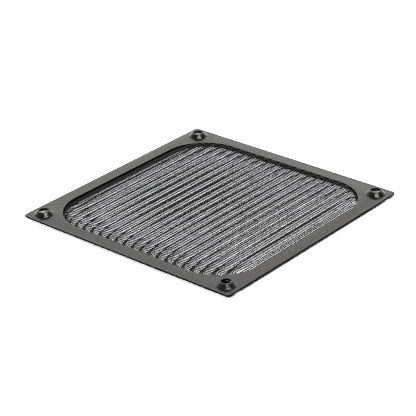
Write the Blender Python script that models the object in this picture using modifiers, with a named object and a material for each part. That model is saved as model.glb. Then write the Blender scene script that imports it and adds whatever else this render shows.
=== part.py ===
"""Dust filter for a 120 mm fan.

A stamped aluminium frame with four embossed screw bosses, a pleated wire mesh and a thin ring
behind it, all finished black. The ring and the frame hold the flattened border of the mesh.
The filter lies on its ring, with the bosses and the pleats upwards. Metres, +Z up.
"""

import math

import bmesh
import bpy

# Hole pattern of a 120 mm fan, and the frame round it
HOLE_SPACING = 0.105
HOLE_TO_EDGE = 0.0065
SCREW_HOLE_DIAMETER = 0.0043
BAR_WIDTH = 0.0062
PLATE_CORNER_RADIUS = 0.0015
OPENING_CORNER_RADIUS = 0.021
FRAME_SHEET = 0.0008
SHEET_EDGE_BREAK = 0.0001

# Screw bosses, embossed upwards
BOSS_HEIGHT = 0.0018
BOSS_RIM_WIDTH = 0.0005
BOSS_WALL_ANGLE = math.radians(45)
BOSS_FOOT_RADIUS = 0.001

# Pleated mesh
MESH_THICKNESS = 0.0004
MESH_BORDER = 0.0027
PLEAT_PITCH = 0.00478
CREST_OFFSET = -0.0013
FOLD_WIDTH = 0.0007
FOLD_TO_EDGE = 0.0025
CREST_ABOVE_FRAME = 0.0017
VALLEY_ABOVE_REST = 0.0009

# How the pleats gain their height from a flat lip inside the opening's edge: most of it
# steeply, the rest as a slow arch up to the centre
FLAT_LIP = 0.0008
STEEP_RUN_IN = 0.004
ARCH_SHARE = 0.2

# Gaps on the slopes of the pleats, staggered like the holes of a weave
GAPS_PER_SLOPE = 3
GAP_TO_EDGE = 0.0042

# Rear ring
RING_SHEET = 0.0004
RING_WIDTH = 0.0032

# Clearance between each piece and the next
SEAT_CLEARANCE = 0.0003

# Fineness of the round stretches, and spare mesh that is trimmed off
PLATE_CORNER_STEPS = 6
OPENING_CORNER_STEPS = 18
BOSS_STEPS = 32
BOSS_FOOT_STEPS = 3
RUN_IN_STEPS = (0.35, 0.7, 1.5, 2.2, 3.2)
TRIM_WASTE = 0.001
WELD_DISTANCE = 0.000005

# Outlines
PLATE_SIDE = HOLE_SPACING + 2 * HOLE_TO_EDGE
OPENING_SIDE = PLATE_SIDE - 2 * BAR_WIDTH

# Levels of the stack, from the ring's underside up
MESH_LEVEL = RING_SHEET + SEAT_CLEARANCE + MESH_THICKNESS / 2
FRAME_TOP = MESH_LEVEL + MESH_THICKNESS / 2 + SEAT_CLEARANCE + FRAME_SHEET
CREST_LEVEL = FRAME_TOP + CREST_ABOVE_FRAME - MESH_THICKNESS / 2
VALLEY_LEVEL = VALLEY_ABOVE_REST + MESH_THICKNESS / 2

BLACK_SHEET = ((0.020, 0.020, 0.019, 1.0), 0.36, 0.0)
BLACK_WIRE = ((0.018, 0.018, 0.018, 1.0), 0.30, 0.0)


def clear_objects():
    for obj in list(bpy.data.objects):
        bpy.data.objects.remove(obj, do_unlink=True)


def new_collection(name):
    collection = bpy.data.collections.new(name)
    bpy.context.scene.collection.children.link(collection)
    return collection


def new_material(name, finish):
    colour, roughness, metallic = finish
    material = bpy.data.materials.new(name)
    material.use_nodes = True
    shader = material.node_tree.nodes["Principled BSDF"]
    shader.inputs["Base Color"].default_value = colour
    shader.inputs["Roughness"].default_value = roughness
    shader.inputs["Metallic"].default_value = metallic
    material.diffuse_color = colour
    return material


def rounded_square(side, radius, steps):
    """Points of a square outline with an arc at each corner, anticlockwise."""
    centre = side / 2 - radius
    points = []
    for quarter in range(4):
        start = quarter * math.pi / 2
        middle = start + math.pi / 4
        centre_x = math.copysign(centre, math.cos(middle))
        centre_y = math.copysign(centre, math.sin(middle))
        for step in range(steps + 1):
            angle = start + step * math.pi / 2 / steps
            points.append((centre_x + radius * math.cos(angle), centre_y + radius * math.sin(angle)))
    return points


def circle(centre, radius, steps):
    """Points of a circle, the first one straight along +X from its centre."""
    turn = 2 * math.pi / steps
    return [
        (centre[0] + radius * math.cos(step * turn), centre[1] + radius * math.sin(step * turn))
        for step in range(steps)
    ]


def edge_distance(x, y, side, radius):
    """Distance from a point in to the outline of a rounded square, negative outside it."""
    across = abs(x) - (side / 2 - radius)
    along = abs(y) - (side / 2 - radius)
    outside_corner = math.hypot(max(across, 0.0), max(along, 0.0))
    return radius - outside_corner - min(max(across, along), 0.0)


def outline_curve(name, outlines, half_thickness):
    """A flat curve filled between its outlines, in the XY plane."""
    curve = bpy.data.curves.new(name, "CURVE")
    curve.dimensions = "2D"
    curve.fill_mode = "BOTH"
    curve.extrude = half_thickness
    for outline in outlines:
        spline = curve.splines.new("POLY")
        spline.points.add(len(outline) - 1)
        for point, (x, y) in zip(spline.points, outline):
            point.co = (x, y, 0.0, 1.0)
        spline.use_cyclic_u = True
    return bpy.data.objects.new(name, curve)


def evaluated_mesh(obj, name):
    """The mesh of an object with its modifiers, or of a curve with its fill."""
    bpy.context.view_layer.update()
    depsgraph = bpy.context.evaluated_depsgraph_get()
    mesh = bpy.data.meshes.new_from_object(obj.evaluated_get(depsgraph), depsgraph=depsgraph)
    mesh.name = name
    return mesh


def finish_curve(curve_object, name):
    """The closed mesh of a curve, at its own place."""
    mesh = evaluated_mesh(curve_object, name)
    mesh.transform(curve_object.matrix_world)
    bm = bmesh.new()
    bm.from_mesh(mesh)
    bmesh.ops.remove_doubles(bm, verts=bm.verts, dist=WELD_DISTANCE)
    bm.to_mesh(mesh)
    bm.free()
    bpy.data.objects.remove(curve_object, do_unlink=True)
    return mesh


def add_part(name, mesh, material, collection):
    obj = bpy.data.objects.new(name, mesh)
    mesh.materials.clear()
    mesh.materials.append(material)
    collection.objects.link(obj)
    return obj


def boss_centres():
    half = HOLE_SPACING / 2
    return [(half, half), (-half, half), (-half, -half), (half, -half)]


def boss_profile():
    """Half section of a boss's upper side, from its foot up to the edge of its screw hole."""
    hole_radius = SCREW_HOLE_DIAMETER / 2
    rim_radius = hole_radius + BOSS_RIM_WIDTH
    wall_foot = rim_radius + BOSS_HEIGHT / math.tan(BOSS_WALL_ANGLE)
    foot_reach = BOSS_FOOT_RADIUS * math.tan(BOSS_WALL_ANGLE / 2)
    profile = []
    for step in range(BOSS_FOOT_STEPS + 1):
        angle = -math.pi / 2 - BOSS_WALL_ANGLE * step / BOSS_FOOT_STEPS
        profile.append((
            wall_foot + foot_reach + BOSS_FOOT_RADIUS * math.cos(angle),
            BOSS_FOOT_RADIUS + BOSS_FOOT_RADIUS * math.sin(angle),
        ))
    profile.append((rim_radius, BOSS_HEIGHT))
    profile.append((hole_radius, BOSS_HEIGHT))
    return profile


def turned_boss(collection):
    """The upper side of one boss, turned about its own axis as an open surface."""
    mesh = bpy.data.meshes.new("boss_profile")
    bm = bmesh.new()
    verts = [bm.verts.new((radius, 0.0, height)) for radius, height in boss_profile()]
    for lower, upper in zip(verts, verts[1:]):
        bm.edges.new((lower, upper))
    bm.to_mesh(mesh)
    bm.free()
    obj = bpy.data.objects.new("boss_profile", mesh)
    collection.objects.link(obj)
    screw = obj.modifiers.new("turn", "SCREW")
    screw.steps = BOSS_STEPS
    screw.render_steps = BOSS_STEPS
    screw.use_merge_vertices = True
    screw.merge_threshold = WELD_DISTANCE
    turned = evaluated_mesh(obj, "boss_surface")
    bpy.data.objects.remove(obj, do_unlink=True)
    return turned


def sheet_surface(collection):
    """The frame's upper side as one open surface, bosses and all, facing up."""
    pad_radius = boss_profile()[0][0]
    outlines = [
        rounded_square(PLATE_SIDE, PLATE_CORNER_RADIUS, PLATE_CORNER_STEPS),
        rounded_square(OPENING_SIDE, OPENING_CORNER_RADIUS, OPENING_CORNER_STEPS),
    ]
    outlines += [circle(centre, pad_radius, BOSS_STEPS) for centre in boss_centres()]
    flat = outline_curve("frame_outline", outlines, 0.0)
    collection.objects.link(flat)
    mesh = finish_curve(flat, "front_frame")
    boss = turned_boss(collection)
    bm = bmesh.new()
    bm.from_mesh(mesh)
    for centre_x, centre_y in boss_centres():
        first_new = len(bm.verts)
        bm.from_mesh(boss)
        bm.verts.ensure_lookup_table()
        bmesh.ops.translate(bm, verts=bm.verts[first_new:], vec=(centre_x, centre_y, 0.0))
    bmesh.ops.remove_doubles(bm, verts=bm.verts, dist=WELD_DISTANCE)
    bmesh.ops.translate(bm, verts=bm.verts, vec=(0.0, 0.0, FRAME_TOP))
    downward = [face for face in bm.faces if face.normal.z < 0.0]
    bmesh.ops.reverse_faces(bm, faces=downward)
    bm.to_mesh(mesh)
    bm.free()
    return mesh


def make_front_frame(collection, material):
    """One stamped sheet: flat bars, the rounded opening and the four bosses."""
    mesh = sheet_surface(collection)
    frame = add_part("front_frame", mesh, material, collection)
    mesh.shade_smooth()
    mesh.set_sharp_from_angle(angle=math.radians(30))
    solidify = frame.modifiers.new("sheet", "SOLIDIFY")
    solidify.thickness = FRAME_SHEET
    solidify.offset = -1.0
    solidify.use_even_offset = True
    bevel = frame.modifiers.new("edge_break", "BEVEL")
    bevel.width = SHEET_EDGE_BREAK
    bevel.segments = 1
    bevel.limit_method = "ANGLE"
    bevel.angle_limit = math.radians(60)
    return frame


def make_rear_ring(collection, material):
    """The thin ring behind the mesh, round the same opening and clear of the bosses."""
    outlines = [
        rounded_square(
            OPENING_SIDE + 2 * RING_WIDTH, OPENING_CORNER_RADIUS + RING_WIDTH, OPENING_CORNER_STEPS
        ),
        rounded_square(OPENING_SIDE, OPENING_CORNER_RADIUS, OPENING_CORNER_STEPS),
    ]
    ring_curve = outline_curve("ring_outline", outlines, RING_SHEET / 2)
    ring_curve.location.z = RING_SHEET / 2
    collection.objects.link(ring_curve)
    return add_part("rear_ring", finish_curve(ring_curve, "rear_ring"), material, collection)


def pleat_columns():
    """Places across the pleats, each with its share of the height: 1 on a crest, 0 in a valley."""
    half_span = OPENING_SIDE / 2
    folds = math.ceil(2 * half_span / PLEAT_PITCH)
    columns = []
    for fold in range(-folds, folds + 1):
        middle = CREST_OFFSET + fold * PLEAT_PITCH / 2
        share = 1.0 if fold % 2 == 0 else 0.0
        columns.append((middle - FOLD_WIDTH / 2, share))
        columns.append((middle + FOLD_WIDTH / 2, share))
    inner = [column for column in columns if abs(column[0]) < half_span - FOLD_TO_EDGE]
    ends = [(half_span, 0.0), (half_span + MESH_BORDER + TRIM_WASTE, 0.0)]
    return [(-x, share) for x, share in reversed(ends)] + inner + ends


def gap_length():
    """Length of one gap, and of the closed stretch between one gap and the next."""
    return (OPENING_SIDE - 2 * GAP_TO_EDGE) / (2 * GAPS_PER_SLOPE)


def pleat_rows():
    """Places along the pleats: the ends of the gaps, the steps of the run-in and the border."""
    half_span = OPENING_SIDE / 2
    rows = [half_span - GAP_TO_EDGE - block * gap_length() for block in range(GAPS_PER_SLOPE)]
    rows += [half_span - GAP_TO_EDGE * step for step in RUN_IN_STEPS]
    rows += [half_span, half_span + MESH_BORDER + TRIM_WASTE]
    rows.sort()
    return [-y for y in reversed(rows)] + [0.0] + rows


def pleat_height(x, y, share):
    """Height of the mesh: highest at the centre, and flat from the lip outwards."""
    inward = max(edge_distance(x, y, OPENING_SIDE, OPENING_CORNER_RADIUS) - FLAT_LIP, 0.0)
    steep = (1.0 - ARCH_SHARE) * math.exp(-inward / STEEP_RUN_IN)
    arch = ARCH_SHARE * (1.0 - 2 * inward / OPENING_SIDE) ** 2
    full = VALLEY_LEVEL + (CREST_LEVEL - VALLEY_LEVEL) * share
    return MESH_LEVEL + (1.0 - steep - arch) * (full - MESH_LEVEL)


def is_gap(columns, rows, column, row):
    """True where the wall is open: every other stretch of a slope, staggered pleat by pleat."""
    (left, left_share), (right, right_share) = columns[column], columns[column + 1]
    if left_share == right_share:
        return False
    slope = math.floor(((left + right) / 2 - CREST_OFFSET) / (PLEAT_PITCH / 2))
    block = math.floor((rows[row] + rows[row + 1]) / 2 / gap_length())
    pleat, side = divmod(slope, 2)
    if (pleat + side + block) % 2:
        return False
    corners = [
        edge_distance(x, y, OPENING_SIDE, OPENING_CORNER_RADIUS)
        for x in (left, right) for y in (rows[row], rows[row + 1])
    ]
    return min(corners) > GAP_TO_EDGE - WELD_DISTANCE


def pleated_surface():
    """The mesh's middle surface as a grid, with its gaps left open."""
    columns = pleat_columns()
    rows = pleat_rows()
    bm = bmesh.new()
    bmesh.ops.create_grid(bm, x_segments=len(columns) - 1, y_segments=len(rows) - 1, size=1.0)
    bm.verts.ensure_lookup_table()
    for index, vert in enumerate(bm.verts):
        x, share = columns[index % len(columns)]
        y = rows[index // len(columns)]
        vert.co = (x, y, pleat_height(x, y, share))
    width = len(columns) - 1
    gaps = [
        face for index, face in enumerate(bm.faces)
        if is_gap(columns, rows, index % width, index // width)
    ]
    bmesh.ops.delete(bm, geom=gaps, context="FACES")
    mesh = bpy.data.meshes.new("pleated_mesh")
    bm.to_mesh(mesh)
    bm.free()
    return mesh


def trim_prism(cutters):
    """The rounded outline of the held border, as a block that the mesh is cut to."""
    outline = rounded_square(
        OPENING_SIDE + 2 * MESH_BORDER, OPENING_CORNER_RADIUS + MESH_BORDER, OPENING_CORNER_STEPS
    )
    curve = outline_curve("mesh_trim", [outline], FRAME_TOP + CREST_ABOVE_FRAME)
    cutters.objects.link(curve)
    prism = bpy.data.objects.new("mesh_trim", finish_curve(curve, "mesh_trim"))
    cutters.objects.link(prism)
    prism.hide_render = True
    prism.display_type = "WIRE"
    return prism


def make_pleated_mesh(collection, cutters, material):
    """The pleated wall, its border trimmed to the outline that the ring and the frame hold."""
    wall = add_part("pleated_mesh", pleated_surface(), material, collection)
    solidify = wall.modifiers.new("wall", "SOLIDIFY")
    solidify.thickness = MESH_THICKNESS
    solidify.offset = 0.0
    solidify.use_even_offset = True
    trim = wall.modifiers.new("trim", "BOOLEAN")
    trim.operation = "INTERSECT"
    trim.object = trim_prism(cutters)
    return wall


def main():
    clear_objects()
    parts = new_collection("fan_dust_filter")
    cutters = new_collection("cutters")
    black_sheet = new_material("black_sheet", BLACK_SHEET)
    black_wire = new_material("black_wire", BLACK_WIRE)
    make_front_frame(parts, black_sheet)
    make_pleated_mesh(parts, cutters, black_wire)
    make_rear_ring(parts, black_sheet)


main()
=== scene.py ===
"""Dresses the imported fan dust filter: woven pleated mesh, black sheet frame and rear ring."""

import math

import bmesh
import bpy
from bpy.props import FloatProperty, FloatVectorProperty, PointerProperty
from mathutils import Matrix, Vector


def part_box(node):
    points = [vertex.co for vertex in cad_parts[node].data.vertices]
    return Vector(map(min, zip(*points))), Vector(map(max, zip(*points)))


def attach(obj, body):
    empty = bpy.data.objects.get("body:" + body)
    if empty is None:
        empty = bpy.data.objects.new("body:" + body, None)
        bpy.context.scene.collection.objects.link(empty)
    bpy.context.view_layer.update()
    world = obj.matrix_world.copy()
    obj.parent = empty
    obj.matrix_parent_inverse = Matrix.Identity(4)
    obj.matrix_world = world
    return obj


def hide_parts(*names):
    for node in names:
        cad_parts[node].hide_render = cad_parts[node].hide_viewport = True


bl_info = {
    "name": "Fan dust filter",
    "version": (1, 0, 0),
    "blender": (4, 5, 0),
    "location": "View3D > Sidebar > Dust Filter",
    "description": "Builds the fan dust filter's frame, woven mesh and ring round its solids",
    "category": "Object",
}

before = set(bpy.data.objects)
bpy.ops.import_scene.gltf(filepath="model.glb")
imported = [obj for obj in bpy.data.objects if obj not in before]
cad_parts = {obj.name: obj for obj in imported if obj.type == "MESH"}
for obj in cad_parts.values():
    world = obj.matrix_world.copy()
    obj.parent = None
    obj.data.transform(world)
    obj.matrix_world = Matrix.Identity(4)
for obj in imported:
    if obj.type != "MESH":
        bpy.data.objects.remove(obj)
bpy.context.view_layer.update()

FRAME_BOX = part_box("front_frame")
MESH_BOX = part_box("pleated_mesh")
RING_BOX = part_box("rear_ring")
PLATE_SIDE = FRAME_BOX[1].x - FRAME_BOX[0].x
RING_SIDE = RING_BOX[1].x - RING_BOX[0].x
RING_SHEET = RING_BOX[1].z - RING_BOX[0].z

WELD = 0.000002                     # points closer than this become one point
PLATE_CORNER_STEPS = 8              # edges along one corner of the plate
OPENING_CORNER_STEPS = 36           # edges along one corner of the opening and of the ring
BOSS_STEPS = 72                     # edges round a boss
BOSS_FOOT_STEPS = 6                 # edges along the hollow of a boss's foot
SHEARED_EDGE_ANGLE = math.radians(40)
WIRE_END_ANGLE = math.radians(100)
WALL_END = 0.2                      # where walls turn to backdrop: cosine of the angle from its middle
BACKDROP_START = 0.75               # where the backdrop is at its full light: the same cosine
PIXEL_FILTER_WIDTH = 1.15           # in pixels, for edges as soft as the photo's


class FrameSheetSettings(bpy.types.PropertyGroup):
    """Sizes and colour of the stamped front frame."""

    sheet: FloatProperty(
        name="Sheet", description="Thickness of the frame's sheet",
        default=0.0008, min=0.0003, unit="LENGTH", precision=5)
    bar_width: FloatProperty(
        name="Bar width", description="Width of the bars between the plate's edge and the opening",
        default=0.0062, min=0.003, unit="LENGTH", precision=5)
    plate_corner: FloatProperty(
        name="Plate corner", description="Radius of the plate's corners",
        default=0.0015, min=0.0003, unit="LENGTH", precision=5)
    opening_corner: FloatProperty(
        name="Opening corner", description="Radius of the opening's corners",
        default=0.021, min=0.002, unit="LENGTH", precision=5)
    edge_break: FloatProperty(
        name="Edge break", description="Rounding of the sheared edges",
        default=0.00008, min=0.00002, unit="LENGTH", precision=5)
    hole_spacing: FloatProperty(
        name="Hole spacing", description="Distance between neighbouring screw holes",
        default=0.105, min=0.03, unit="LENGTH", precision=5)
    hole_diameter: FloatProperty(
        name="Hole diameter", description="Diameter of the screw holes",
        default=0.0043, min=0.002, unit="LENGTH", precision=5)
    boss_height: FloatProperty(
        name="Boss height", description="Height of the screw bosses above the sheet",
        default=0.0018, min=0.0005, unit="LENGTH", precision=5)
    boss_rim: FloatProperty(
        name="Boss rim", description="Width of the flat rim round a screw hole",
        default=0.0007, min=0.0001, unit="LENGTH", precision=5)
    boss_wall_angle: FloatProperty(
        name="Boss wall angle", description="Slope of a boss's wall",
        default=math.radians(49), subtype="ANGLE")
    boss_foot: FloatProperty(
        name="Boss foot", description="Radius of the hollow round a boss's foot",
        default=0.0008, min=0.0002, unit="LENGTH", precision=5)
    black: FloatVectorProperty(
        name="Black", description="Colour of the black finish",
        default=(0.013, 0.0129, 0.0125), subtype="COLOR", size=3, min=0.0, max=1.0)


class WovenMeshSettings(bpy.types.PropertyGroup):
    """Sizes and colour of the woven, pleated wire cloth."""

    long_wire: FloatProperty(
        name="Long wire", description="Diameter of the wires that run along the pleats",
        default=0.00048, min=0.0001, unit="LENGTH", precision=6)
    cross_wire: FloatProperty(
        name="Cross wire", description="Diameter of the wires that run across the pleats",
        default=0.00016, min=0.0001, unit="LENGTH", precision=6)
    wires_per_pleat: FloatProperty(
        name="Wires per pleat", description="Wires that run along each pleat, on both its slopes",
        default=7.03, min=3.0, max=14.0)
    wire_shift: FloatProperty(
        name="Wire shift", description="Place of the wires on the middle pleat, in wire pitches",
        default=-0.3, min=-1.0, max=1.0)
    cross_pitch: FloatProperty(
        name="Cross pitch", description="Distance between the wires that run across the pleats",
        default=0.000917, min=0.0004, unit="LENGTH", precision=6)
    pleat_pitch: FloatProperty(
        name="Pleat pitch", description="Distance between the crests of the pleats",
        default=0.00478, min=0.002, unit="LENGTH", precision=5)
    pleat_offset: FloatProperty(
        name="Pleat offset", description="From the centre to the nearest crest",
        default=-0.0013, unit="LENGTH", precision=5)
    pleat_bow: FloatProperty(
        name="Pleat bow", description="Sideways bow of the pleats at the opening's edge",
        default=0.0004, unit="LENGTH", precision=5)
    valley_level: FloatProperty(
        name="Valley level", description="Height of the valleys over the plane under the filter",
        default=0.00152, min=0.0004, unit="LENGTH", precision=5)
    first_crest_shift: FloatProperty(
        name="First crest shift", description="How far the first pleat leans in from its even place",
        default=0.0015, min=0.0, unit="LENGTH", precision=5)
    first_crest_drop: FloatProperty(
        name="First crest drop", description="Share of its height that the first pleat lacks",
        default=0.2, min=0.0, max=0.8)
    end_lean: FloatProperty(
        name="End lean", description="How far the pleats lean sideways at their pressed ends",
        default=0.0024, unit="LENGTH", precision=5)
    lean_reach: FloatProperty(
        name="Lean reach", description="Distance from the ends over which the pleats lean",
        default=0.004, min=0.001, unit="LENGTH", precision=5)
    fold_sharpness: FloatProperty(
        name="Fold sharpness", description="0.1 makes the pleats round waves, 1 makes them zigzags",
        default=0.96, min=0.1, max=0.999)
    run_in: FloatProperty(
        name="Run-in", description="Distance over which the pleats rise steeply from the border",
        default=0.0012, min=0.001, unit="LENGTH", precision=5)
    slow_rise: FloatProperty(
        name="Slow rise", description="Share of the height that the pleats gain towards the centre",
        default=0.13, min=0.0, max=0.6)
    border: FloatProperty(
        name="Border", description="Width of the pressed border under the frame",
        default=0.0026, min=0.0005, unit="LENGTH", precision=5)
    black: FloatVectorProperty(
        name="Black", description="Colour of the wires' black finish",
        default=(0.007, 0.007, 0.007), subtype="COLOR", size=3, min=0.0, max=1.0)


class RearRingSettings(bpy.types.PropertyGroup):
    """Sizes of the thin ring behind the mesh."""

    width: FloatProperty(
        name="Width", description="Width of the ring's band",
        default=0.0032, min=0.001, unit="LENGTH", precision=5)
    edge_break: FloatProperty(
        name="Edge break", description="Rounding of the ring's edges",
        default=0.00005, min=0.00001, unit="LENGTH", precision=5)


class StudioSettings(bpy.types.PropertyGroup):
    """The view of the filter, its floor and its light."""

    azimuth: FloatProperty(
        name="Azimuth", description="Direction of the view round the filter",
        default=math.radians(41.07), subtype="ANGLE")
    elevation: FloatProperty(
        name="Elevation", description="Height of the view over the floor",
        default=math.radians(26.79), subtype="ANGLE")
    roll: FloatProperty(
        name="Roll", description="Tilt of the camera about its own axis",
        default=math.radians(-1.71), subtype="ANGLE")
    distance: FloatProperty(
        name="Distance", description="From the camera to the point that it looks at",
        default=0.7404, min=0.1, unit="LENGTH")
    target: FloatVectorProperty(
        name="Target", description="Point on the frame's upper face that the camera looks at",
        default=(0.00174, -0.00404), size=2, unit="LENGTH")
    lens: FloatProperty(
        name="Lens", description="Focal length in millimetres",
        default=144.18, min=20.0)
    sensor: FloatProperty(
        name="Sensor", description="Width of the camera's sensor in millimetres",
        default=36.0, min=4.0)
    floor_side: FloatProperty(
        name="Floor side", description="Length of the floor's side",
        default=6.0, min=1.0, unit="LENGTH")
    floor_colour: FloatVectorProperty(
        name="Floor colour", description="Colour of the floor as it lights the filter",
        default=(0.25, 0.25, 0.25), subtype="COLOR", size=3, min=0.0, max=1.0)
    seen_floor_colour: FloatVectorProperty(
        name="Seen floor colour", description="Colour of the pale floor as it is seen",
        default=(1.1, 1.1, 1.13), subtype="COLOR", size=3, min=0.0, max=2.0)
    light_colour: FloatVectorProperty(
        name="Light colour", description="Colour of the light from the backdrop and the walls",
        default=(1.0, 0.995, 0.94), subtype="COLOR", size=3, min=0.0, max=1.0)
    backdrop_light: FloatProperty(
        name="Backdrop light", description="Strength of the bright backdrop behind the filter",
        default=1.75, min=0.0)
    wall_share: FloatProperty(
        name="Wall share", description="Light of the walls in front, as a share of the backdrop's",
        default=0.22, min=0.0, max=1.0)
    ceiling_light: FloatProperty(
        name="Ceiling light", description="Strength of the dim ceiling over the backdrop",
        default=0.02, min=0.0)
    backdrop_top: FloatProperty(
        name="Backdrop top", description="Elevation up to which the backdrop has its full light",
        default=math.radians(34), subtype="ANGLE")
    ceiling_foot: FloatProperty(
        name="Ceiling foot", description="Elevation from which the ceiling is at its dimmest",
        default=math.radians(46), subtype="ANGLE")
    lamp_distance: FloatProperty(
        name="Lamp distance", description="From the filter to each lamp",
        default=1.2, min=0.2, unit="LENGTH")
    key_power: FloatProperty(
        name="Key power", description="Power of the small lamp at the left",
        default=10.0, min=0.0, unit="POWER")
    fill_power: FloatProperty(
        name="Fill power", description="Power of the small lamp in front",
        default=16.0, min=0.0, unit="POWER")
    softbox_power: FloatProperty(
        name="Softbox power", description="Power of the wide lamp above",
        default=11.0, min=0.0, unit="POWER")


def settings(name):
    """One piece's group of settings."""
    return getattr(bpy.context.scene, name)


def link(obj):
    """Puts an object into the scene."""
    bpy.context.scene.collection.objects.link(obj)
    return obj


def sheet_top():
    """Height of the frame sheet's upper face, which the bosses rise from."""
    return FRAME_BOX[1].z - settings("frame_sheet").boss_height


def opening_side():
    """Side of the frame's opening."""
    return PLATE_SIDE - 2 * settings("frame_sheet").bar_width


def rounded_square(side, radius, steps):
    """Points of a square outline with an arc at each corner, anticlockwise."""
    centre = side / 2 - radius
    points = []
    for quarter in range(4):
        start = quarter * math.pi / 2
        middle = start + math.pi / 4
        centre_x = math.copysign(centre, math.cos(middle))
        centre_y = math.copysign(centre, math.sin(middle))
        for step in range(steps + 1):
            angle = start + step * math.pi / 2 / steps
            points.append((centre_x + radius * math.cos(angle), centre_y + radius * math.sin(angle)))
    return points


def circle(centre, radius, steps):
    """Points of a round outline, anticlockwise."""
    turn = 2 * math.pi / steps
    return [
        (centre[0] + radius * math.cos(step * turn), centre[1] + radius * math.sin(step * turn))
        for step in range(steps)
    ]


def edge_distance(x, y, side, radius):
    """Distance from a point in to the outline of a rounded square, negative outside it."""
    across = abs(x) - (side / 2 - radius)
    along = abs(y) - (side / 2 - radius)
    outside_corner = math.hypot(max(across, 0.0), max(along, 0.0))
    return radius - outside_corner - min(max(across, along), 0.0)


def half_chord(place, side, radius):
    """Half the length of a straight line across a rounded square, at a place off its centre."""
    beyond = abs(place) - (side / 2 - radius)
    if beyond <= 0.0:
        return side / 2
    return side / 2 - radius + math.sqrt(max(radius * radius - beyond * beyond, 0.0))


def add_spline(curve, points, closed):
    """Adds one straight-sided line to a curve."""
    spline = curve.splines.new("POLY")
    spline.points.add(len(points) - 1)
    for point, place in zip(spline.points, points):
        point.co = (*place, 1.0)
    spline.use_cyclic_u = closed


def curve_to_bmesh(curve):
    """The surface of a curve as welded editable mesh data. The curve itself is removed."""
    obj = link(bpy.data.objects.new(curve.name, curve))
    bpy.context.view_layer.update()
    depsgraph = bpy.context.evaluated_depsgraph_get()
    mesh = bpy.data.meshes.new_from_object(obj.evaluated_get(depsgraph), depsgraph=depsgraph)
    bpy.data.objects.remove(obj, do_unlink=True)
    bpy.data.curves.remove(curve)
    bm = bmesh.new()
    bm.from_mesh(mesh)
    bpy.data.meshes.remove(mesh)
    bmesh.ops.remove_doubles(bm, verts=bm.verts, dist=WELD)
    return bm


def filled_outlines(name, outlines):
    """A flat open surface between outlines."""
    curve = bpy.data.curves.new(name, "CURVE")
    curve.dimensions = "2D"
    curve.fill_mode = "BOTH"
    for outline in outlines:
        add_spline(curve, [(x, y, 0.0) for x, y in outline], closed=True)
    return curve_to_bmesh(curve)


def set_surface(bm, height):
    """Welds an open surface that was made at height 0, lifts it and turns its faces up."""
    bmesh.ops.remove_doubles(bm, verts=bm.verts, dist=WELD)
    bmesh.ops.translate(bm, verts=bm.verts, vec=(0.0, 0.0, height))
    downward = [face for face in bm.faces if face.normal.z < 0.0]
    bmesh.ops.reverse_faces(bm, faces=downward)


def finish_sheet(name, bm, thickness, edge_break):
    """Gives an open surface its thickness below it, breaks its edges and shades it."""
    mesh = bpy.data.meshes.new(name)
    bm.to_mesh(mesh)
    bm.free()
    obj = link(bpy.data.objects.new(name, mesh))
    for material in sheet_materials():
        mesh.materials.append(material)
    mesh.shade_smooth()
    solidify = obj.modifiers.new("sheet", "SOLIDIFY")
    solidify.thickness = thickness
    solidify.offset = -1.0
    solidify.use_even_offset = True
    # The rim faces, the sheet's cut edges, take the second material: painted shade.
    solidify.material_offset_rim = 1
    bevel = obj.modifiers.new("edge_break", "BEVEL")
    bevel.width = edge_break
    bevel.segments = 2
    bevel.limit_method = "ANGLE"
    bevel.angle_limit = SHEARED_EDGE_ANGLE
    bevel.harden_normals = True
    bevel.use_clamp_overlap = True
    return obj


def noise_group():
    """Two sizes of soft noise in the object's own space, as values round one half."""
    group = bpy.data.node_groups.new("finish_variation", "ShaderNodeTree")
    entry = group.nodes.new("NodeGroupInput")
    leave = group.nodes.new("NodeGroupOutput")
    place = group.nodes.new("ShaderNodeTexCoord")
    for name, scale, detail in (("Broad", 40.0, 3.0), ("Fine", 900.0, 2.0)):
        scale_name = name + " Scale"
        socket = group.interface.new_socket(
            scale_name, in_out="INPUT", socket_type="NodeSocketFloat")
        socket.default_value = scale
        group.interface.new_socket(name, in_out="OUTPUT", socket_type="NodeSocketFloat")
        noise = group.nodes.new("ShaderNodeTexNoise")
        noise.inputs["Detail"].default_value = detail
        group.links.new(place.outputs["Object"], noise.inputs["Vector"])
        group.links.new(entry.outputs[scale_name], noise.inputs["Scale"])
        group.links.new(noise.outputs["Fac"], leave.inputs[name])
    return group


def new_material(name):
    """A material with its node tree and its shader."""
    material = bpy.data.materials.new(name)
    material.use_nodes = True
    tree = material.node_tree
    return material, tree, tree.nodes["Principled BSDF"]


def add_variation(tree, broad_scale, fine_scale):
    """The broad and the fine noise of a finish."""
    variation = tree.nodes.new("ShaderNodeGroup")
    variation.node_tree = bpy.data.node_groups.get("finish_variation") or noise_group()
    variation.inputs["Broad Scale"].default_value = broad_scale
    variation.inputs["Fine Scale"].default_value = fine_scale
    return variation.outputs["Broad"], variation.outputs["Fine"]


def map_value(tree, source, start, end, low, high, interpolation="LINEAR"):
    """A value that goes from low to high as its source goes from start to end."""
    node = tree.nodes.new("ShaderNodeMapRange")
    node.interpolation_type = interpolation
    node.inputs["From Min"].default_value = start
    node.inputs["From Max"].default_value = end
    node.inputs["To Min"].default_value = low
    node.inputs["To Max"].default_value = high
    tree.links.new(source, node.inputs["Value"])
    return node.outputs["Result"]


def map_noise(tree, noise, low, high):
    """A value between low and high that follows a noise, which seldom leaves 0.3 to 0.7."""
    return map_value(tree, noise, start=0.3, end=0.7, low=low, high=high)


def mix_colours(tree, factor, first, second):
    """The first colour where the factor is 0 and the second where it is 1."""
    mix = tree.nodes.new("ShaderNodeMix")
    mix.data_type = "RGBA"
    mix.inputs["A"].default_value = (*first, 1.0)
    mix.inputs["B"].default_value = (*second, 1.0)
    tree.links.new(factor, mix.inputs["Factor"])
    return mix.outputs["Result"]


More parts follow.
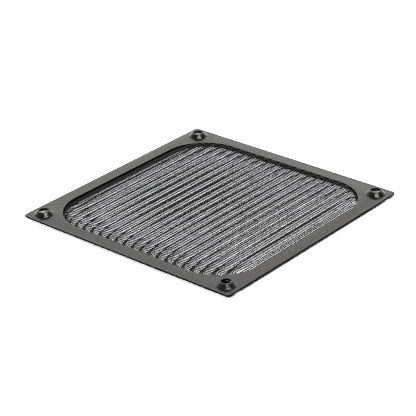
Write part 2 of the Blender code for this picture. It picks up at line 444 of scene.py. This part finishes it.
def vary_colour(tree, source, colour, spread):
    """A colour whose brightness follows a source, by a share either way."""
    dark = [part * (1.0 - spread) for part in colour]
    light = [part * (1.0 + spread) for part in colour]
    return mix_colours(tree, source, dark, light)


def add_bump(tree, height, shader, distance, strength):
    """Roughens a shader's surface by a height."""
    bump = tree.nodes.new("ShaderNodeBump")
    bump.inputs["Distance"].default_value = distance
    bump.inputs["Strength"].default_value = strength
    tree.links.new(height, bump.inputs["Height"])
    tree.links.new(bump.outputs["Normal"], shader.inputs["Normal"])


def black_face_material():
    """Satin black finish of the flat faces and bosses, with a fine metallic grain."""
    material, tree, shader = new_material("black_finish")
    broad, fine = add_variation(tree, broad_scale=45.0, fine_scale=900.0)
    grain = map_noise(tree, fine, low=0.0, high=1.0)
    colour = vary_colour(tree, grain, settings("frame_sheet").black, spread=0.9)
    tree.links.new(colour, shader.inputs["Base Color"])
    tree.links.new(map_noise(tree, broad, low=0.11, high=0.17), shader.inputs["Roughness"])
    tree.links.new(map_noise(tree, fine, low=0.0, high=0.9), shader.inputs["Metallic"])
    shader.inputs["IOR"].default_value = 1.5
    add_bump(tree, fine, shader, distance=0.00015, strength=0.8)
    return material


def edge_painted_shade_material():
    """The sheared edges in painted shade: a darker, duller copy of the black finish, so they stay
    black where the finish would reflect the pale floor.
    """
    # Share of the finish's colour that the edges keep: painted shade.
    edge_shade_share = 0.15
    material, tree, shader = new_material("edge_painted_shade")
    broad, fine = add_variation(tree, broad_scale=200.0, fine_scale=3000.0)
    shaded_edge_colour = [part * edge_shade_share for part in settings("frame_sheet").black]
    colour = vary_colour(tree, broad, shaded_edge_colour, spread=0.4)
    tree.links.new(colour, shader.inputs["Base Color"])
    tree.links.new(map_noise(tree, fine, low=0.5, high=0.7), shader.inputs["Roughness"])
    # The low specular level dulls the edges' reflections, also part of the painted shade.
    shader.inputs["Specular IOR Level"].default_value = 0.02
    add_bump(tree, fine, shader, distance=0.00002, strength=0.4)
    return material


def wire_material():
    """Aluminium wire under the same black finish."""
    material, tree, shader = new_material("black_wire")
    broad, fine = add_variation(tree, broad_scale=90.0, fine_scale=4000.0)
    colour = vary_colour(tree, broad, settings("woven_mesh").black, spread=0.15)
    tree.links.new(colour, shader.inputs["Base Color"])
    tree.links.new(map_noise(tree, broad, low=0.24, high=0.36), shader.inputs["Roughness"])
    shader.inputs["Specular IOR Level"].default_value = 0.2
    add_bump(tree, fine, shader, distance=0.000005, strength=0.3)
    return material


def sheet_materials():
    """The finish of the faces and its darker, duller copy that paints shade onto the sheared edges,
    which both sheets share.
    """
    faces = bpy.data.materials.get("black_finish") or black_face_material()
    edges = bpy.data.materials.get("edge_painted_shade") or edge_painted_shade_material()
    return faces, edges


def boss_profile():
    """Half section of a boss's upper side, from its foot up to the edge of its screw hole."""
    sizes = settings("frame_sheet")
    hole_radius = sizes.hole_diameter / 2
    rim_radius = hole_radius + sizes.boss_rim
    angle = sizes.boss_wall_angle
    wall_foot = rim_radius + sizes.boss_height / math.tan(angle)
    foot_reach = sizes.boss_foot * math.tan(angle / 2)
    profile = []
    for step in range(BOSS_FOOT_STEPS + 1):
        turn = -math.pi / 2 - angle * step / BOSS_FOOT_STEPS
        profile.append((
            wall_foot + foot_reach + sizes.boss_foot * math.cos(turn),
            sizes.boss_foot + sizes.boss_foot * math.sin(turn),
        ))
    profile.append((rim_radius, sizes.boss_height))
    profile.append((hole_radius, sizes.boss_height))
    return profile


def add_boss(bm, centre, profile):
    """Turns a boss's profile into an open surface about its own axis."""
    verts = [bm.verts.new((centre[0] + radius, centre[1], height)) for radius, height in profile]
    edges = [bm.edges.new(pair) for pair in zip(verts, verts[1:])]
    bmesh.ops.spin(
        bm, geom=verts + edges, cent=(*centre, 0.0), axis=(0.0, 0.0, 1.0), angle=2 * math.pi,
        steps=BOSS_STEPS, use_merge=True)


class FILTER_OT_frame_sheet(bpy.types.Operator):
    """Stamps the black front frame with its opening and four embossed screw bosses"""

    bl_idname = "dust_filter.frame_sheet"
    bl_label = "Front Frame"

    def execute(self, context):
        sizes = settings("frame_sheet")
        profile = boss_profile()
        foot_radius = profile[0][0]
        half = sizes.hole_spacing / 2
        centres = [(half, half), (-half, half), (-half, -half), (half, -half)]
        outlines = [
            rounded_square(PLATE_SIDE, sizes.plate_corner, PLATE_CORNER_STEPS),
            rounded_square(opening_side(), sizes.opening_corner, OPENING_CORNER_STEPS),
        ]
        outlines += [circle(centre, foot_radius, BOSS_STEPS) for centre in centres]
        bm = filled_outlines("frame_outline", outlines)
        for centre in centres:
            add_boss(bm, centre, profile)
        set_surface(bm, sheet_top())
        plate = finish_sheet("frame_sheet", bm, sizes.sheet, sizes.edge_break)
        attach(plate, "root")
        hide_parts("front_frame")
        return {"FINISHED"}


class FILTER_OT_rear_ring(bpy.types.Operator):
    """Cuts the thin ring that holds the border of the mesh from behind"""

    bl_idname = "dust_filter.rear_ring"
    bl_label = "Rear Ring"

    def execute(self, context):
        sizes = settings("rear_ring")
        inner_corner = settings("frame_sheet").opening_corner
        outer_corner = inner_corner + sizes.width
        bm = filled_outlines("ring_outline", [
            rounded_square(RING_SIDE, outer_corner, OPENING_CORNER_STEPS),
            rounded_square(RING_SIDE - 2 * sizes.width, inner_corner, OPENING_CORNER_STEPS),
        ])
        set_surface(bm, RING_BOX[1].z)
        ring = finish_sheet("ring_sheet", bm, RING_SHEET, sizes.edge_break)
        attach(ring, "root")
        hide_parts("rear_ring")
        return {"FINISHED"}


class PleatShape:
    """The middle surface of the woven cloth: pleats inside, flat at the pressed border."""

    def __init__(self):
        cloth = settings("woven_mesh")
        self.side = opening_side()
        self.corner = settings("frame_sheet").opening_corner
        self.pitch = cloth.pleat_pitch
        self.sharpness = cloth.fold_sharpness
        self.offset = cloth.pleat_offset
        self.bow = cloth.pleat_bow
        self.run_in = cloth.run_in
        self.slow_rise = cloth.slow_rise
        self.lean = cloth.end_lean
        self.lean_reach = cloth.lean_reach
        self.last_crest = math.floor((self.side / 2 - abs(self.offset)) / self.pitch) * self.pitch
        self.first_crest = -self.last_crest + cloth.first_crest_shift
        self.first_crest_drop = cloth.first_crest_drop
        self.crest = MESH_BOX[1].z - (cloth.long_wire + cloth.cross_wire) / 2
        self.valley = cloth.valley_level
        self.level = (RING_BOX[1].z + FRAME_BOX[0].z) / 2

    def height(self, x, y):
        """Height of the cloth at a point: from the border's level up to that of the pleats."""
        bow = self.bow * (2 * y / self.side) ** 2
        to_end = max(half_chord(x, self.side, self.corner) - abs(y), 0.0)
        lean = self.lean * math.exp(-to_end / self.lean_reach)
        across = x - self.offset - bow - lean
        full = self.valley + (self.crest - self.valley) * self.rise(across)
        inward = max(edge_distance(x, y, self.side, self.corner), 0.0)
        steep = (1.0 - self.slow_rise) * math.exp(-(inward / self.run_in) ** 2)
        slow = self.slow_rise * (1.0 - 2 * inward / self.side) ** 2
        ease = 1.0 - steep - slow
        return self.level + ease * (full - self.level)

    def rise(self, across):
        """Share of the pleat's height. The first pleat is low, the cloth past the last is flat."""
        if across > self.last_crest + self.pitch / 2:
            return 0.0
        first_top = 1.0 - self.first_crest_drop
        first_foot = self.first_crest + self.side / 2 + self.offset
        first_valley = self.pitch / 2 - self.last_crest
        if across < self.first_crest:
            return first_top * max(1.0 - (self.first_crest - across) / first_foot, 0.0)
        if across < first_valley:
            return first_top * (first_valley - across) / (first_valley - self.first_crest)
        phase = 2 * math.pi * across / self.pitch
        fold = math.asin(self.sharpness * math.cos(phase)) / math.asin(self.sharpness)
        return (1.0 + fold) / 2

    def normal(self, x, y):
        """Direction straight out of the cloth's upper side at a point."""
        reach = 0.00005
        slope_x = (self.height(x + reach, y) - self.height(x - reach, y)) / (2 * reach)
        slope_y = (self.height(x, y + reach) - self.height(x, y - reach)) / (2 * reach)
        return Vector((-slope_x, -slope_y, 1.0)).normalized()


def even_places(shape, span, wires_per_pleat, shift):
    """Places across the pleats, the same length of folded cloth apart on the centre line."""
    steps = 200
    step = shape.pitch / steps
    x = shape.offset - math.ceil((span + shape.offset) / shape.pitch) * shape.pitch
    lengths = []
    places = []
    length = 0.0
    while x < span:
        places.append(x)
        lengths.append(length)
        length += math.hypot(step, shape.height(x + step, 0.0) - shape.height(x, 0.0))
        x += step
    middle = min(range(len(places)), key=lambda index: abs(places[index] - shape.offset))
    one_pleat = lengths[middle + steps] - lengths[middle]
    pitch = one_pleat / wires_per_pleat
    start = lengths[middle] + shift * pitch
    wires = []
    for index in range(1, len(places)):
        before = (lengths[index - 1] - start) / pitch
        after = (lengths[index] - start) / pitch
        if math.floor(after) > math.floor(before) and places[index] > -span:
            share = (math.floor(after) - before) / (after - before)
            wires.append(places[index - 1] + share * step)
    return wires


def weave_knots(shape, across, along, side, corner, margin):
    """Where wires cross inside the cut cloth: a point, and the side that the long wire takes."""
    knots = {}
    for i, x in enumerate(across):
        for j, y in enumerate(along):
            if edge_distance(x, y, side, corner) > margin:
                point = Vector((x, y, shape.height(x, y)))
                way = 1.0 if (i + j) % 2 else -1.0
                knots[i, j] = (point, shape.normal(x, y) * way)
    return knots


def wire_path(knots, places, crimp):
    """Points of one wire, off the cloth's middle by its crimp at each knot that it reaches."""
    return [knots[place][0] + knots[place][1] * crimp for place in places if place in knots]


def wire_mesh(name, paths, diameter, material):
    """Wires of one thickness along their paths, as one mesh of closed tubes."""
    curve = bpy.data.curves.new(name, "CURVE")
    curve.dimensions = "3D"
    curve.bevel_depth = diameter / 2
    curve.bevel_resolution = 0
    curve.use_fill_caps = True
    for path in paths:
        if len(path) > 2:
            add_spline(curve, path, closed=False)
    bm = curve_to_bmesh(curve)
    mesh = bpy.data.meshes.new(name)
    bm.to_mesh(mesh)
    bm.free()
    mesh.materials.append(material)
    mesh.shade_smooth()
    mesh.set_sharp_from_angle(angle=WIRE_END_ANGLE)
    return link(bpy.data.objects.new(name, mesh))


class FILTER_OT_woven_mesh(bpy.types.Operator):
    """Weaves the black wires of the pleated cloth, over and under one another"""

    bl_idname = "dust_filter.woven_mesh"
    bl_label = "Woven Mesh"

    def execute(self, context):
        cloth = settings("woven_mesh")
        shape = PleatShape()
        side = shape.side + 2 * cloth.border
        corner = shape.corner + cloth.border
        across = even_places(shape, side / 2, cloth.wires_per_pleat, cloth.wire_shift)
        half_count = int(side / cloth.cross_pitch / 2)
        along = [(index + 0.5) * cloth.cross_pitch for index in range(-half_count, half_count)]
        knots = weave_knots(shape, across, along, side, corner, margin=cloth.long_wire)
        long_wires = range(len(across))
        cross_wires = range(len(along))
        long_crimp = cloth.cross_wire / 2
        cross_crimp = -cloth.long_wire / 2
        long_paths = [
            wire_path(knots, [(i, j) for j in cross_wires], long_crimp) for i in long_wires
        ]
        cross_paths = [
            wire_path(knots, [(i, j) for i in long_wires], cross_crimp) for j in cross_wires
        ]
        material = wire_material()
        for name, paths, diameter in (
            ("long_wires", long_paths, cloth.long_wire),
            ("cross_wires", cross_paths, cloth.cross_wire),
        ):
            piece = wire_mesh(name, paths, diameter, material)
            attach(piece, "root")
            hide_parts("pleated_mesh")
        return {"FINISHED"}


def seen_rays(tree):
    """1 for rays that see a surface, straight or in a reflection, 0 for those that it lights."""
    path = tree.nodes.new("ShaderNodeLightPath")
    seen = path.outputs["Is Camera Ray"]
    for other in ("Is Glossy Ray", "Is Transmission Ray"):
        either = tree.nodes.new("ShaderNodeMath")
        either.operation = "MAXIMUM"
        tree.links.new(seen, either.inputs[0])
        tree.links.new(path.outputs[other], either.inputs[1])
        seen = either.outputs["Value"]
    return seen


def floor_material():
    """Pale floor, brighter to the eye than to the light that it returns."""
    studio = settings("studio")
    material, tree, shader = new_material("floor")
    tree.nodes.remove(shader)
    diffuse = tree.nodes.new("ShaderNodeBsdfDiffuse")
    colour = mix_colours(tree, seen_rays(tree), studio.floor_colour, studio.seen_floor_colour)
    tree.links.new(colour, diffuse.inputs["Color"])
    tree.links.new(diffuse.outputs["BSDF"], tree.nodes["Material Output"].inputs["Surface"])
    return material


def add_floor():
    """A flat pale floor under the filter."""
    bm = bmesh.new()
    bmesh.ops.create_grid(bm, x_segments=1, y_segments=1, size=settings("studio").floor_side / 2)
    mesh = bpy.data.meshes.new("floor")
    bm.to_mesh(mesh)
    bm.free()
    mesh.materials.append(floor_material())
    floor = link(bpy.data.objects.new("floor", mesh))


def add_world():
    """A bright low backdrop behind the filter, dimmer walls in front and a dim ceiling."""
    studio = settings("studio")
    world = bpy.data.worlds.new("studio")
    bpy.context.scene.world = world
    world.use_nodes = True
    tree = world.node_tree
    background = tree.nodes["Background"]
    place = tree.nodes.new("ShaderNodeTexCoord").outputs["Generated"]
    split = tree.nodes.new("ShaderNodeSeparateXYZ")
    tree.links.new(place, split.inputs["Vector"])
    by_height = map_value(
        tree, split.outputs["Z"],
        start=math.sin(studio.backdrop_top), end=math.sin(studio.ceiling_foot),
        low=studio.backdrop_light, high=studio.ceiling_light, interpolation="SMOOTHSTEP")
    behind = tree.nodes.new("ShaderNodeVectorMath")
    behind.operation = "DOT_PRODUCT"
    behind.inputs[1].default_value = (-math.sin(studio.azimuth), math.cos(studio.azimuth), 0.0)
    tree.links.new(place, behind.inputs[0])
    by_side = map_value(
        tree, behind.outputs["Value"], start=WALL_END, end=BACKDROP_START,
        low=studio.wall_share, high=1.0, interpolation="SMOOTHSTEP")
    strength = tree.nodes.new("ShaderNodeMath")
    strength.operation = "MULTIPLY"
    tree.links.new(by_height, strength.inputs[0])
    tree.links.new(by_side, strength.inputs[1])
    tree.links.new(strength.outputs["Value"], background.inputs["Strength"])
    background.inputs["Color"].default_value = (*studio.light_colour, 1.0)


def add_area_lamp(name, direction, size, power, shows_in_gloss):
    """A lamp of a width and height, in a direction from the filter, turned towards it."""
    lamp = bpy.data.lights.new(name, "AREA")
    lamp.shape = "RECTANGLE"
    lamp.size, lamp.size_y = size
    lamp.energy = power
    obj = link(bpy.data.objects.new(name, lamp))
    place = Vector(direction).normalized() * settings("studio").lamp_distance
    obj.location = place
    obj.rotation_euler = place.to_track_quat("Z", "Y").to_euler()
    obj.visible_glossy = shows_in_gloss


def add_lamps():
    """A small key lamp at the left, a small fill lamp in front and a wide softbox above."""
    studio = settings("studio")
    add_area_lamp(
        "key", direction=(-1.0, -0.25, 0.72), size=(0.25, 0.25), power=studio.key_power,
        shows_in_gloss=False)
    add_area_lamp(
        "fill", direction=(0.35, -1.0, 0.62), size=(0.3, 0.3), power=studio.fill_power,
        shows_in_gloss=False)
    add_area_lamp(
        "softbox", direction=(0.45, -0.15, 0.87), size=(0.75, 0.5), power=studio.softbox_power,
        shows_in_gloss=True)


def add_camera():
    """The camera at the photo's viewing angle."""
    studio = settings("studio")
    azimuth, elevation, roll = studio.azimuth, studio.elevation, studio.roll
    back = Vector((
        math.sin(azimuth) * math.cos(elevation),
        -math.cos(azimuth) * math.cos(elevation),
        math.sin(elevation),
    ))
    level_right = Vector((math.cos(azimuth), math.sin(azimuth), 0.0))
    level_up = back.cross(level_right)
    right = level_right * math.cos(roll) + level_up * math.sin(roll)
    up = level_up * math.cos(roll) - level_right * math.sin(roll)
    place = Vector((*studio.target, sheet_top())) + back * studio.distance
    camera = bpy.data.cameras.new("camera")
    camera.lens = studio.lens
    camera.sensor_fit = "HORIZONTAL"
    camera.sensor_width = studio.sensor
    camera.clip_start = 0.01
    obj = link(bpy.data.objects.new("camera", camera))
    turn = Matrix((right, up, back)).transposed().to_4x4()
    obj.matrix_world = Matrix.Translation(place) @ turn
    bpy.context.scene.camera = obj


class FILTER_OT_studio(bpy.types.Operator):
    """Sets the pale floor, the soft light and the camera"""

    bl_idname = "dust_filter.studio"
    bl_label = "Studio"

    def execute(self, context):
        add_floor()
        add_world()
        add_lamps()
        add_camera()
        context.scene.view_settings.view_transform = "Standard"
        context.scene.cycles.filter_width = PIXEL_FILTER_WIDTH
        context.scene.cycles.denoising_prefilter = "NONE"
        return {"FINISHED"}


class FILTER_PT_panel(bpy.types.Panel):
    """Lists the pieces of the filter and its studio"""

    bl_idname = "FILTER_PT_panel"
    bl_label = "Fan Dust Filter"
    bl_space_type = "VIEW_3D"
    bl_region_type = "UI"
    bl_category = "Dust Filter"

    def draw(self, context):
        for group, _, operator in PIECES:
            box = self.layout.box()
            box.operator(operator.bl_idname)
            values = getattr(context.scene, group)
            for name in values.bl_rna.properties.keys():
                if name not in {"rna_type", "name"}:
                    box.prop(values, name)


PIECES = (
    ("frame_sheet", FrameSheetSettings, FILTER_OT_frame_sheet),
    ("rear_ring", RearRingSettings, FILTER_OT_rear_ring),
    ("woven_mesh", WovenMeshSettings, FILTER_OT_woven_mesh),
    ("studio", StudioSettings, FILTER_OT_studio),
)


def register():
    for group, values, operator in PIECES:
        bpy.utils.register_class(values)
        bpy.utils.register_class(operator)
        setattr(bpy.types.Scene, group, PointerProperty(type=values))
    bpy.utils.register_class(FILTER_PT_panel)


def unregister():
    bpy.utils.unregister_class(FILTER_PT_panel)
    for group, values, operator in reversed(PIECES):
        delattr(bpy.types.Scene, group)
        bpy.utils.unregister_class(operator)
        bpy.utils.unregister_class(values)


def main():
    register()
    bpy.ops.dust_filter.frame_sheet()
    bpy.ops.dust_filter.rear_ring()
    bpy.ops.dust_filter.woven_mesh()
    bpy.ops.dust_filter.studio()


if __name__ == "__main__":
    main()
